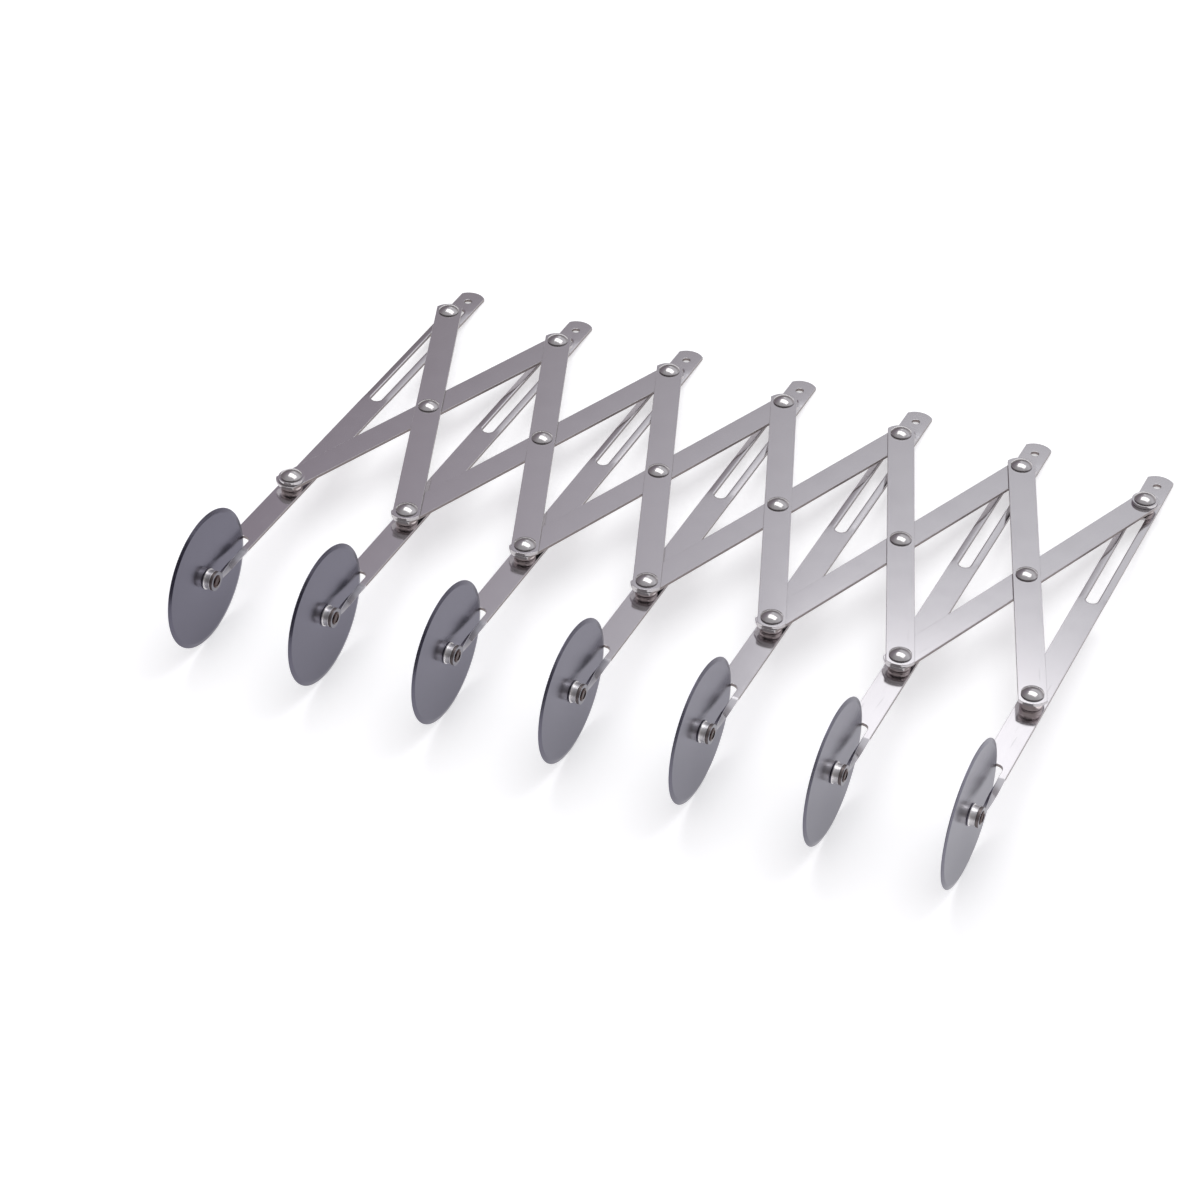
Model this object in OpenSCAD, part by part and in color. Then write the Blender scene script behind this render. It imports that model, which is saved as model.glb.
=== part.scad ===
// Expandable dough cutter: round cutting discs on parallel bars, spread by a riveted lazy-tongs lattice.
// The lattice is drawn flat, with the bars' top face at zero height and the front pivots on the X axis,
// and is then tilted so that the discs and the bars' tails stand on the worktop.

/* [Cutting discs] */
// Diameter of a cutting disc
disc_d = 52; // [45:1:70]
// Thickness of a cutting disc
disc_t = 1; // [0.8:0.1:1.6]
// Width of the ground bevel at the rim
bevel_w = 1.6; // [0.8:0.1:3]
// Thickness left at the cutting edge
edge_t = 0.2; // [0.1:0.05:0.4]

/* [Hubs and axles] */
// Outer diameter of a hub
hub_d = 7; // [6.4:0.1:7.6]
// Diameter of the hub's collar beside the disc
collar_d = 7.8; // [7.8:0.1:12]
// Length of the hub's collar along the axle
collar_l = 0.6; // [0.4:0.1:1.2]
// Diameter of the hub's waist inside the disc
waist_d = 5.4; // [5.2:0.1:6]
// Diameter of an axle pin
axle_d = 3.5; // [3:0.1:4]
// Diameter of an axle pin's head
axle_head_d = 4.8; // [4.6:0.1:6]
// Height of an axle pin's head
axle_head_h = 0.4; // [0.3:0.1:1]
// Height of the straight rim of an axle pin's head
axle_rim = 0.1; // [0.05:0.05:0.2]

/* [Strips] */
// Width of every bar and link
strip_w = 10; // [9.6:0.1:11.5]
// Thickness of every bar and link
strip_t = 1.2; // [1:0.1:1.6]
// Radius of the rounded strip ends
end_r = 6.5; // [6.2:0.1:9]

/* [Wheel bars] */
// Distance from the front pivot forwards to the axle
axle_reach = 62; // [56:1:72]
// Length of the tail behind the guide slot's rear end centre
tail_l = 15.4; // [13.5:0.1:30]
// Distance from the tip of the tail to its hanging hole
hang_inset = 7; // [5:0.5:8]
// Diameter of the hanging hole
hang_d = 3; // [2:0.1:3.4]
// Gap between the two fork prongs
fork_gap = 5.2; // [4.8:0.1:5.6]
// Length of flat prong before the twist begins
prong_flat = 3.5; // [3:0.5:8]
// Length of straight neck between the twist and the round ear
neck_l = 0.6; // [0.5:0.1:2]
// Diameter of the round ear that holds the axle
ear_d = 7.2; // [6.6:0.1:9]
// Length that the straight metal laps over each end of the twist
twist_lap = 0.4; // [0.3:0.1:0.6]
// Depth of the twist's faces under those of the straight metal
twist_in = 0.04; // [0.03:0.01:0.08]

/* [Lattice] */
// Length of a link between its end pivots
link_l = 136; // [115:0.5:160]
// Distance between neighbouring discs as shown
pitch = 48; // [30:1:90]
// Angle between a link and the bars when the lattice is closed
spread_min = 5.7; // [5.6:0.1:8]
// Angle between a link and the bars when the lattice is fully open
spread_max = 60.6; // [50:0.1:61]
// Length of a link past its end pivot
link_over = 5.5; // [5:0.1:7]
// Height of the spacer between a bar and the links
spacer_h = 2.3; // [2.2:0.1:4]
// Outer diameter of a spacer
spacer_d = 8; // [7:0.1:9]
// Diameter of the washer that stands in for a missing upper link
washer_d = 9.6; // [8.4:0.1:10]

/* [Rivets] */
// Diameter of a rivet's shank
rivet_d = 4; // [3.5:0.1:4.4]
// Diameter of a domed rivet head
head_d = 8; // [7:0.1:9]
// Height of a domed rivet head
head_h = 2; // [1.5:0.1:2.6]
// Height of the straight rim under the dome
head_rim = 0.4; // [0.2:0.1:0.6]
// Diameter of the flat head on a rivet's lower end
foot_d = 7; // [6.6:0.1:8]
// Height of the flat head on a rivet's lower end
foot_h = 1; // [0.8:0.1:1.2]

/* [Clearances] */
// Radial clearance of a pin in its hole
pin_fit = 0.05; // [0.02:0.01:0.08]
// Gap between a sliding rivet and each side of its slot
slot_fit = 0.3; // [0.2:0.05:0.4]
// Gap between flat pieces that slide over one another
layer_gap = 0.1; // [0.05:0.05:0.2]
// Gap between the disc's rim and the root of the fork
rim_gap = 1.5; // [1:0.1:3]

/* [Hidden] */
$fn = 96;
// Number of discs, bars and rows of rivets
discs = 7;
// Flat steps that a quarter twist is drawn in
twist_steps = 8;
steel = [0.60, 0.58, 0.60];
dark_steel = [0.45, 0.44, 0.48];
bright_steel = [0.76, 0.75, 0.75];

// Heights of the layers above the bars' top face
lower_z = spacer_h + layer_gap;
upper_z = lower_z + strip_t + layer_gap;
head_z = upper_z + strip_t + layer_gap;

// Lattice angle and the rear pivots' distance from the front pivots
spread = asin(pitch / link_l);
row_gap = link_l * cos(spread);

// Slot in the rear half of a bar, from end to end of the rear rivet's travel
slot_w = rivet_d + 2 * slot_fit;
slot_front = link_l * cos(spread_max) - slot_fit;
slot_rear = link_l * cos(spread_min) + slot_fit;
tail_reach = slot_rear + tail_l;

// Fork at the front of a bar
half_w = strip_w / 2;
prong_w = (strip_w - fork_gap) / 2;
axle_y = -axle_reach;
fork_root = axle_y + disc_d / 2 + rim_gap;
twist_y = fork_root - fork_gap / 2 - prong_flat;
twist_x = half_w - prong_w / 2;
ear_y = axle_y + ear_d / 2 + neck_l;
twist_l = twist_y - ear_y;
ear_in = twist_x - strip_t / 2;
ear_out = twist_x + strip_t / 2;
axle_z = -strip_t / 2;
hub_l = 2 * (ear_in - layer_gap);

// Tilt that brings the discs and the tails down to the same floor
drop = axle_z + strip_t;
tail_run = tail_reach - axle_y;
tilt = asin(disc_d / 2 / norm([tail_run, drop])) - atan2(drop, tail_run);
lift = disc_d / 2 + axle_y * sin(tilt) - axle_z * cos(tilt);
front_end = axle_y * cos(tilt) + axle_z * sin(tilt) - disc_d / 2;
rear_end = tail_reach * cos(tilt);
middle_y = (front_end + rear_end) / 2;

// Place of bar number i along the row
function bar_x(i) = (i - (discs + 1) / 2) * pitch;

// Stand the flat lattice on its discs and tails, centred over the origin
module stand() {
    translate([0, -middle_y, lift])
        rotate([-tilt, 0, 0])
            children();
}

// Flat outline of a strip along Y, with both ends rounded
module strip_outline(y0, y1) {
    intersection() {
        translate([-half_w, y0])
            square([strip_w, y1 - y0]);
        union() {
            translate([0, y0 + end_r])
                circle(end_r);
            translate([-half_w, y0 + end_r])
                square([strip_w, y1 - y0 - 2 * end_r]);
            translate([0, y1 - end_r])
                circle(end_r);
        }
    }
}

// Slot with round ends, between the centres of its end circles
module slot_outline(y0, y1, w) {
    translate([-w / 2, y0])
        square([w, y1 - y0]);
    for (y = [y0, y1])
        translate([0, y])
            circle(d = w);
}

// Flat part of a wheel bar: tail, guide slot, pivot hole and the two prongs
module bar_outline() {
    difference() {
        union() {
            strip_outline(0, tail_reach);
            translate([-half_w, twist_y - twist_lap])
                square([strip_w, end_r - twist_y + twist_lap]);
        }
        circle(d = rivet_d + 2 * pin_fit);
        slot_outline(slot_front, slot_rear, slot_w);
        translate([0, tail_reach - hang_inset])
            circle(d = hang_d);
        slot_outline(twist_y - fork_gap, fork_root - fork_gap / 2, fork_gap);
    }
}

// One prong: a quarter twist about its centre line that turns its inner edge upwards, then the round ear
module prong() {
    translate([twist_x, twist_y, axle_z])
        rotate([90, 0, 0])
            linear_extrude(height = twist_l, twist = 90, slices = twist_steps, segments = 4)
                square([prong_w - 2 * twist_in, strip_t - 2 * twist_in], center = true);
    translate([ear_in, 0, 0])
        rotate([90, 0, 90])
            linear_extrude(strip_t)
                difference() {
                    union() {
                        translate([axle_y, axle_z])
                            circle(d = ear_d);
                        translate([axle_y, axle_z - prong_w / 2])
                            square([ear_y + twist_lap - axle_y, prong_w]);
                    }
                    translate([axle_y, axle_z])
                        circle(d = axle_d + 2 * pin_fit);
                }
}

// Ring around Z, from height z0 up
module ring(outer_d, inner_d, z0, h) {
    translate([0, 0, z0])
        difference() {
            cylinder(d = outer_d, h = h);
            translate([0, 0, -h])
                cylinder(d = inner_d, h = 3 * h);
        }
}

// Low dome with a straight rim, standing on the XY plane
module dome(d, h, rim) {
    cap_h = h - rim;
    cap_r = (d * d / 4 + cap_h * cap_h) / (2 * cap_h);
    rotate_extrude()
        intersection() {
            translate([0, h - cap_r])
                circle(cap_r);
            square([d / 2, h]);
        }
}

// Rivet with a domed head on top and a flat foot whose upper face is at foot_top
module rivet(foot_top) {
    color(bright_steel) {
        translate([0, 0, head_z])
            dome(head_d, head_h, head_rim);
        translate([0, 0, foot_top])
            cylinder(d = rivet_d, h = head_z - foot_top);
        translate([0, 0, foot_top - foot_h])
            cylinder(d = foot_d, h = foot_h);
    }
}

// Tube round a rivet, between two heights
module spacer(z0, z1) {
    color(bright_steel)
        ring(spacer_d, rivet_d + 2 * pin_fit, z0, z1 - z0);
}

// Washer as thick as a link, under the head of a rivet that holds no upper link
module link_washer() {
    color(steel)
        ring(washer_d, rivet_d + 2 * pin_fit, upper_z, strip_t);
}

// Lazy-tongs link along Y from its first pivot, with end and middle holes
module link() {
    color(steel)
        linear_extrude(strip_t)
            difference() {
                strip_outline(-link_over, link_l + link_over);
                for (y = [0, link_l / 2, link_l])
                    translate([0, y])
                        circle(d = rivet_d + 2 * pin_fit);
            }
}

// Bar with a fork for the disc in front and a guide slot behind
module wheel_bar(i) {
    color(steel)
        stand()
            translate([bar_x(i), 0, 0]) {
                translate([0, 0, -strip_t])
                    linear_extrude(strip_t)
                        bar_outline();
                prong();
                mirror([1, 0, 0])
                    prong();
            }
}

// Place a piece drawn round Z on the axle of bar i, with Z along the axle
module on_axle(i) {
    stand()
        translate([bar_x(i), axle_y, axle_z])
            rotate([0, 90, 0])
                children();
}

// Thin round blade with a bevelled rim and a hole for the hub's waist
module cutter_disc(i) {
    r = disc_d / 2;
    color(dark_steel)
        on_axle(i)
            rotate_extrude()
                polygon([
                    [waist_d / 2 + pin_fit, -disc_t / 2],
                    [r - bevel_w, -disc_t / 2],
                    [r, -edge_t / 2],
                    [r, edge_t / 2],
                    [r - bevel_w, disc_t / 2],
                    [waist_d / 2 + pin_fit, disc_t / 2]
                ]);
}

// Turned hub clamped to the disc by a collar on each side, running on the axle pin
module disc_hub(i) {
    color(bright_steel)
        on_axle(i)
            difference() {
                union() {
                    cylinder(d = waist_d, h = hub_l, center = true);
                    for (turn = [0, 180])
                        rotate([turn, 0, 0])
                            translate([0, 0, disc_t / 2]) {
                                cylinder(d = collar_d, h = collar_l);
                                cylinder(d = hub_d, h = (hub_l - disc_t) / 2);
                            }
                }
                cylinder(d = axle_d + 2 * pin_fit, h = 2 * hub_l, center = true);
            }
}

// Pin through both ears, headed on the outside
module axle_pin(i) {
    color(bright_steel)
        on_axle(i) {
            cylinder(d = axle_d, h = 2 * ear_out, center = true);
            for (turn = [0, 180])
                rotate([turn, 0, 0])
                    translate([0, 0, ear_out])
                        dome(axle_head_d, axle_head_h, axle_rim);
        }
}

// Front rivet fixed in the bar, with the spacer that carries the links
module front_pivot(i) {
    stand()
        translate([bar_x(i), 0, 0]) {
            rivet(-strip_t);
            spacer(0, i < discs ? spacer_h : spacer_h + strip_t + layer_gap);
            if (i == 1)
                link_washer();
        }
}

// Rear rivet that slides in the bar's slot, with the spacer between links and bar
module rear_pivot(i) {
    stand()
        translate([bar_x(i), row_gap, 0]) {
            rivet(-strip_t - layer_gap);
            spacer(layer_gap, i > 1 ? spacer_h : spacer_h + strip_t + layer_gap);
            if (i == discs)
                link_washer();
        }
}

// Rivet where two links cross, between bars i and i + 1
module middle_rivet(i) {
    stand()
        translate([bar_x(i) + pitch / 2, row_gap / 2, 0])
            rivet(lower_z);
}

// Upper link from rear pivot i to front pivot i + 1
module upper_link(i) {
    stand()
        translate([bar_x(i + 1), 0, upper_z])
            rotate([0, 0, spread])
                link();
}

// Lower link from front pivot i to rear pivot i + 1
module lower_link(i) {
    stand()
        translate([bar_x(i), 0, lower_z])
            rotate([0, 0, -spread])
                link();
}

for (i = [1:discs]) {
    wheel_bar(i);
    cutter_disc(i);
    disc_hub(i);
    axle_pin(i);
    front_pivot(i);
    rear_pivot(i);
}
for (i = [1:discs - 1]) {
    middle_rivet(i);
    upper_link(i);
    lower_link(i);
}
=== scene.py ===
"""Looks of an expandable dough cutter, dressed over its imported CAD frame.

Seven cutting discs run in forked bars, and a riveted lazy-tongs lattice spreads the bars. Sizes are in
millimetres, as in the CAD source, and every mesh is laid down in metres in the CAD frame.
"""

import logging
import math
from dataclasses import dataclass, field
from enum import Enum
from typing import Callable, ClassVar, Iterable, Sequence

import bmesh
import bpy
import numpy as np
from mathutils import Matrix, Vector
from mathutils.geometry import delaunay_2d_cdt


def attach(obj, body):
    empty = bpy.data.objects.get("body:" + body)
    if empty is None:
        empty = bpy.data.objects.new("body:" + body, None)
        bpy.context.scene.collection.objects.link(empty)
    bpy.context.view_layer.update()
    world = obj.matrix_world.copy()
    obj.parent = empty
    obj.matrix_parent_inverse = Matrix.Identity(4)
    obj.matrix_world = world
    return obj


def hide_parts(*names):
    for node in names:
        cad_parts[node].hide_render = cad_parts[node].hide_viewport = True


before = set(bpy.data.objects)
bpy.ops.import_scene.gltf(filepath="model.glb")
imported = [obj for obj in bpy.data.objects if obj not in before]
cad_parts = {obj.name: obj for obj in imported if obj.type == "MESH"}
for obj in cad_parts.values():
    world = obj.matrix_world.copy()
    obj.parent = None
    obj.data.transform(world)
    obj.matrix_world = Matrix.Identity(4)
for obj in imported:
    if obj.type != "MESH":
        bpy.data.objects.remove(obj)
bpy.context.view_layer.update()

LOG = logging.getLogger("dough_cutter")
MM = 0.001
# bent_and_shaded marks steel that bending has dulled and whose colour is darkened there as painted shade
GRAIN, BENT_AND_SHADED, SHORN = "grain", "bent_and_shaded", "shorn"
FULL_TURN, QUARTER_TURN = 2 * math.pi, math.pi / 2

Flat = tuple[float, float]
Spot = tuple[float, float, float]
Outline = Callable[[float], list[Flat]]
Term = tuple[float, str]
Sum = tuple[Term, ...]
Mesh = bpy.types.Mesh
Piece = bpy.types.Object
Socket = bpy.types.NodeSocket


class Layer(Enum):
    """Which of the two crossing layers of the lattice a link lies in."""

    UPPER = "upper"
    LOWER = "lower"


class Lay(Enum):
    """Which way the polishing marks of a finish run over the piece."""

    ALONG = "along"
    ROUND = "round"


@dataclass
class CutterSizes:
    """Sizes of the whole cutter in millimetres and radians, the same as in its CAD source."""

    discs: int = 7
    pitch: float = 48.0
    disc_d: float = 52.0
    disc_t: float = 1.0
    strip_w: float = 10.0
    strip_t: float = 1.2
    end_r: float = 6.5
    axle_reach: float = 62.0
    tail_l: float = 15.4
    fork_gap: float = 5.2
    prong_flat: float = 3.5
    neck_l: float = 0.6
    ear_d: float = 7.2
    link_l: float = 136.0
    spread_min: float = math.radians(5.7)
    spread_max: float = math.radians(60.6)
    link_over: float = 5.5
    spacer_h: float = 2.3
    rivet_d: float = 4.0
    axle_d: float = 3.5
    pin_fit: float = 0.05
    slot_fit: float = 0.3
    layer_gap: float = 0.1
    rim_gap: float = 1.5

    def __post_init__(self) -> None:
        """Works out the sizes that follow from the others."""
        # radii of the holes for a rivet and for an axle pin
        self.pivot_r: float = self.rivet_d / 2 + self.pin_fit
        self.axle_r: float = self.axle_d / 2 + self.pin_fit
        # undersides of the lower links, the upper links and the rivet heads above the bars' top face
        self.lower_z: float = self.spacer_h + self.layer_gap
        self.upper_z: float = self.lower_z + self.strip_t + self.layer_gap
        self.head_z: float = self.upper_z + self.strip_t + self.layer_gap
        # angle between a link and the bars as shown, and the distance back to the rear rivets
        self.spread: float = math.asin(self.pitch / self.link_l)
        self.row_gap: float = self.link_l * math.cos(self.spread)
        # width of the guide slot, centres of its two ends, and the tip of the tail behind it
        self.slot_w: float = self.rivet_d + 2 * self.slot_fit
        self.slot_front: float = self.link_l * math.cos(self.spread_max) - self.slot_fit
        self.slot_rear: float = self.link_l * math.cos(self.spread_min) + self.slot_fit
        self.tail_reach: float = self.slot_rear + self.tail_l
        # half the width of a strip, and the width of one fork prong
        self.half_w: float = self.strip_w / 2
        self.prong_w: float = (self.strip_w - self.fork_gap) / 2
        # place of the axle along the bar and above its top face, and the rear end of the fork's gap
        self.axle_y: float = -self.axle_reach
        self.axle_z: float = -self.strip_t / 2
        self.fork_root: float = self.axle_y + self.disc_d / 2 + self.rim_gap
        # where a prong's twist begins, how far out its axis lies, and where it is complete
        self.twist_y: float = self.fork_root - self.fork_gap / 2 - self.prong_flat
        self.twist_x: float = self.half_w - self.prong_w / 2
        self.ear_y: float = self.axle_y + self.ear_d / 2 + self.neck_l
        # an ear's outer face from the middle of the bar, and the length of a hub between the ears
        self.ear_out: float = self.twist_x + self.strip_t / 2
        self.hub_l: float = 2 * (self.ear_out - self.strip_t - self.layer_gap)
        # slope of the lattice when it stands on its discs and tails
        drop, run = self.axle_z + self.strip_t, self.tail_reach - self.axle_y
        self.tilt: float = math.asin(self.disc_d / 2 / math.hypot(run, drop)) - math.atan2(drop, run)

    def bar_x(self, number: int) -> float:
        """Place along the row of the bar with a given number, counted from 1 at the left."""
        return (number - (self.discs + 1) / 2) * self.pitch

    def at(self, x: float, y: float, z: float = 0.0) -> Matrix:
        """Finds a place on the lattice when it stands on its discs and tails, centred over the origin.

        Args:
            x: Place along the row.
            y: Distance behind the front rivets.
            z: Height above the bars' top face.

        Returns:
            The matrix from that place on the flat lattice to the CAD frame, in millimetres.
        """
        sin, cos = math.sin(self.tilt), math.cos(self.tilt)
        lift = self.disc_d / 2 + self.axle_y * sin - self.axle_z * cos
        front = self.axle_y * cos + self.axle_z * sin - self.disc_d / 2
        middle = (front + self.tail_reach * cos) / 2
        stand = Matrix.Translation((0, -middle, lift)) @ Matrix.Rotation(-self.tilt, 4, "X")
        return stand @ Matrix.Translation((x, y, z))


@dataclass
class NodeWires:
    """Short words for adding nodes to a tree and joining them."""

    tree: bpy.types.NodeTree

    def node(self, kind: str, inputs: dict[str | int, object] | None = None,
             **settings: object) -> bpy.types.Node:
        """Adds a node.

        Args:
            kind: Blender's name of the node type.
            inputs: An output or a value for each input that has one, by name or number.
            settings: Properties of the node and their values.

        Returns:
            The new node.
        """
        made = self.tree.nodes.new(kind)
        for name, value in settings.items():
            setattr(made, name, value)
        for key, source in (inputs or {}).items():
            self.join(source, made.inputs[key])
        return made

    def join(self, source: object, target: Socket) -> None:
        """Links an output to an input, or sets the input to a plain value.

        Args:
            source: An output socket or a value.
            target: The input socket.
        """
        if isinstance(source, Socket):
            self.tree.links.new(source, target)
        else:
            target.default_value = source

    def math(self, operation: str, *terms: object) -> Socket:
        """Adds one sum of outputs or numbers, by Blender's name of the operation."""
        return self.node("ShaderNodeMath", dict(enumerate(terms)), operation=operation).outputs[0]

    def mix(self, share: object, low: object, high: object) -> Socket:
        """Mixes two colours, each an output or a tuple of three numbers."""
        # the node has sockets for each kind of data, and those of colours come third
        ends = [(*colour, 1.0) if isinstance(colour, tuple) else colour for colour in (low, high)]
        return self.node("ShaderNodeMix", {0: share, 6: ends[0], 7: ends[1]}, data_type="RGBA").outputs[2]

    def scaled(self, place: Socket, scale: Spot, turn: Spot = (0.0, 0.0, 0.0)) -> Socket:
        """Stretches, per millimetre, and turns the coordinates in metres that a pattern is drawn on."""
        inputs = {"Rotation": turn, "Scale": [factor / MM for factor in scale], "Vector": place}
        return self.node("ShaderNodeMapping", inputs).outputs[0]

    def noise(self, place: Socket, scale: float, detail: float) -> Socket:
        """Adds a noise pattern from 0 to 1, with so many octaves of detail."""
        inputs = {"Scale": scale, "Detail": detail, "Vector": place}
        return self.node("ShaderNodeTexNoise", inputs).outputs[0]


@dataclass(frozen=True)
class SteelFinish:
    """A stainless steel finish: its colour, its polish and the marks left by working it."""

    name: str
    slot: str
    tint: Spot
    shade: Spot
    polish: float
    unevenness: float
    lay: Lay
    mark_width: float
    mark_depth: float
    scratches: float = 0.0
    # colour of bent steel, partly its own dull tone and partly painted shade
    dulled_and_shaded: Spot | None = None
    torn: Spot | None = None

    MARK_STRETCH: ClassVar[float] = 0.02
    MARK_DETAIL: ClassVar[float] = 3.0
    MOTTLE_SCALE: ClassVar[float] = 0.09
    MOTTLE_SHARE: ClassVar[float] = 0.7
    SCRATCH_SCALE: ClassVar[Spot] = (0.9, 0.035, 0.9)
    SCRATCH_TURN: ClassVar[Spot] = (0.0, 0.0, 0.45)
    SCRATCH_NOISE: ClassVar[float] = 1.1
    SCRATCH_ABOVE: ClassVar[float] = 0.76
    SCRATCH_ROUGH: ClassVar[float] = 2.0
    SCRATCH_CUT: ClassVar[float] = 20.0
    DULL_ROUGH: ClassVar[float] = 0.1
    TORN_ROUGH: ClassVar[float] = 0.25

    def material(self) -> bpy.types.Material:
        """Gives the finish's node material, made at its first use."""
        return bpy.data.materials.get(self.name) or self._make()

    def _make(self) -> bpy.types.Material:
        """Builds the material, with colour, roughness and bump from its nodes.

        Returns:
            The new material.
        """
        made = bpy.data.materials.new(self.name)
        made.use_nodes = True
        wires = NodeWires(made.node_tree)
        shader = made.node_tree.nodes["Principled BSDF"].inputs
        shader["Metallic"].default_value = 1.0
        marks, mottle, scratch = self._patterns(wires)
        fine = wires.math("MULTIPLY", marks, 1 - self.MOTTLE_SHARE)
        tone = wires.mix(wires.math("MULTIPLY_ADD", mottle, self.MOTTLE_SHARE, fine), self.shade, self.tint)
        rough: object = self.polish
        for pattern in (mottle, marks):
            rough = wires.math("MULTIPLY_ADD", wires.math("SUBTRACT", pattern, 0.5), self.unevenness, rough)
        rough = wires.math("MULTIPLY_ADD", scratch, self.SCRATCH_ROUGH * self.scratches, rough)
        # where bent steel is marked it turns rougher and darker, the darkening partly painted shade; cut
        # walls show torn metal
        for mark, worn, rougher in (
            (BENT_AND_SHADED, self.dulled_and_shaded, self.DULL_ROUGH),
            (SHORN, self.torn, self.TORN_ROUGH),
        ):
            if worn:
                share = wires.node("ShaderNodeAttribute", attribute_name=mark).outputs["Fac"]
                tone = wires.mix(share, tone, worn)
                rough = wires.math("MULTIPLY_ADD", share, rougher, rough)
        height = wires.math("MULTIPLY_ADD", scratch, -self.SCRATCH_CUT * self.scratches, marks)
        bump = wires.node("ShaderNodeBump", {
            "Strength": 1.0, "Distance": self.mark_depth * MM, "Height": height,
        })
        wires.join(tone, shader["Base Color"])
        wires.join(rough, shader["Roughness"])
        wires.join(bump.outputs["Normal"], shader["Normal"])
        return made

    def _patterns(self, wires: NodeWires) -> tuple[Socket, ...]:
        """Adds the polishing marks, the mottling and the stray scratches.

        Args:
            wires: The material's tree.

        Returns:
            Three outputs from 0 to 1: marks, mottling and scratches.
        """
        place = wires.node("ShaderNodeAttribute", attribute_name=GRAIN).outputs["Vector"]
        fine = 1 / self.mark_width
        if self.lay is Lay.ALONG:
            worked = wires.scaled(place, (fine, fine * self.MARK_STRETCH, fine))
        else:
            x, y, z = wires.node("ShaderNodeSeparateXYZ", {0: place}).outputs
            radius = wires.math("SQRT", wires.math("MULTIPLY_ADD", y, y, wires.math("MULTIPLY", x, x)))
            turned = wires.node("ShaderNodeCombineXYZ", {0: radius, 2: z}).outputs[0]
            worked = wires.scaled(turned, (fine, fine, fine))
        marks = wires.noise(worked, 1.0, self.MARK_DETAIL)
        mottle = wires.noise(place, self.MOTTLE_SCALE / MM, self.MARK_DETAIL)
        askew = wires.scaled(place, self.SCRATCH_SCALE, self.SCRATCH_TURN)
        scratch = wires.math("GREATER_THAN", wires.noise(askew, self.SCRATCH_NOISE, 0.0), self.SCRATCH_ABOVE)
        return marks, mottle, scratch


# The strip's dulled colour on the twists and ears is partly the dull tone of bent steel and partly painted
# shade.
STRIP = SteelFinish(
    "rolled_strip", "strip_steel", tint=(0.62, 0.60, 0.615), shade=(0.55, 0.53, 0.545), polish=0.13,
    unevenness=0.06, lay=Lay.ALONG, mark_width=0.35, mark_depth=0.0008, scratches=0.03,
    dulled_and_shaded=(0.20, 0.195, 0.22), torn=(0.26, 0.225, 0.22))
# The disc's tint and shade lie far below plain steel: painted shade, standing in for the darker surroundings
# that the disc reflects.
DISC = SteelFinish(
    "satin_disc", "disc_steel", tint=(0.137, 0.131, 0.172), shade=(0.118, 0.113, 0.149), polish=0.22,
    unevenness=0.06, lay=Lay.ROUND, mark_width=0.25, mark_depth=0.0006)
# The hub's tint lies above plain steel: partly painted highlight, so the whole hub shows as bright as a
# highlight along its top.
TURNED = SteelFinish(
    "turned_hub", "hub_steel", tint=(0.88, 0.86, 0.86), shade=(0.80, 0.78, 0.78), polish=0.36,
    unevenness=0.06, lay=Lay.ROUND, mark_width=0.12, mark_depth=0.0006)
DOMED = SteelFinish(
    "polished_rivet", "rivet_steel", tint=(0.52, 0.50, 0.505), shade=(0.45, 0.43, 0.435), polish=0.20,
    unevenness=0.04, lay=Lay.ROUND, mark_width=0.3, mark_depth=0.0003)
BARREL = SteelFinish(
    "spacer_tube", "rivet_steel", tint=(0.70, 0.63, 0.62), shade=(0.60, 0.53, 0.52), polish=0.12,
    unevenness=0.06, lay=Lay.ROUND, mark_width=0.2, mark_depth=0.0004)
PINNED = SteelFinish(
    "peened_pin", "rivet_steel", tint=(0.080, 0.051, 0.048), shade=(0.045, 0.028, 0.027), polish=0.24,
    unevenness=0.1, lay=Lay.ROUND, mark_width=0.2, mark_depth=0.0010)


@dataclass(frozen=True)
class EdgeRound:
    """Rounding of a punched strip's edges: how far it reaches in over the face and down the wall."""

    over: float
    down: float
    under: float = 0.12
    steps: int = 4

    def levels(self, thickness: float) -> list[Spot]:
        """Steps of the wall from the top face to the underside.

        Args:
            thickness: Thickness of the strip.

        Returns:
            For each step, how far it lies inside the metal, how deep under the top face, and how much of
            the torn metal of the cut it shows, from 0 to 1.
        """
        top, low = [], []
        for k in range(self.steps + 1):
            turn = k / self.steps * QUARTER_TURN
            torn = max(0.0, 2 * k / self.steps - 1) ** 2
            off, deep = 1 - math.sin(turn), 1 - math.cos(turn)
            top.append((self.over * off, self.down * deep, torn))
            low.append((self.under * off, thickness - self.under * deep, torn))
        return top + low[::-1]


SHEARED = EdgeRound(0.14, 0.14)
PUNCHED = EdgeRound(0.55, 0.22)
DRILLED = EdgeRound(0.18, 0.18)


def arc(middle: Flat, radius: float, start: float, end: float, steps: int) -> list[Flat]:
    """Points on an arc between two angles in radians, both ends included."""
    turns = np.linspace(start, end, steps + 1)
    return [(middle[0] + radius * math.cos(a), middle[1] + radius * math.sin(a)) for a in turns]


def straight(start: Flat, end: Flat, steps: int) -> list[Flat]:
    """Points on a straight line, without its last point."""
    shares = [k / steps for k in range(steps)]
    return [(start[0] + (end[0] - start[0]) * s, start[1] + (end[1] - start[1]) * s) for s in shares]


def circle(y: float, radius: float, steps: int) -> list[Flat]:
    """Points round a hole on the middle line of a strip."""
    return arc((0, y), radius, 0, FULL_TURN, steps)[:-1]


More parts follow.
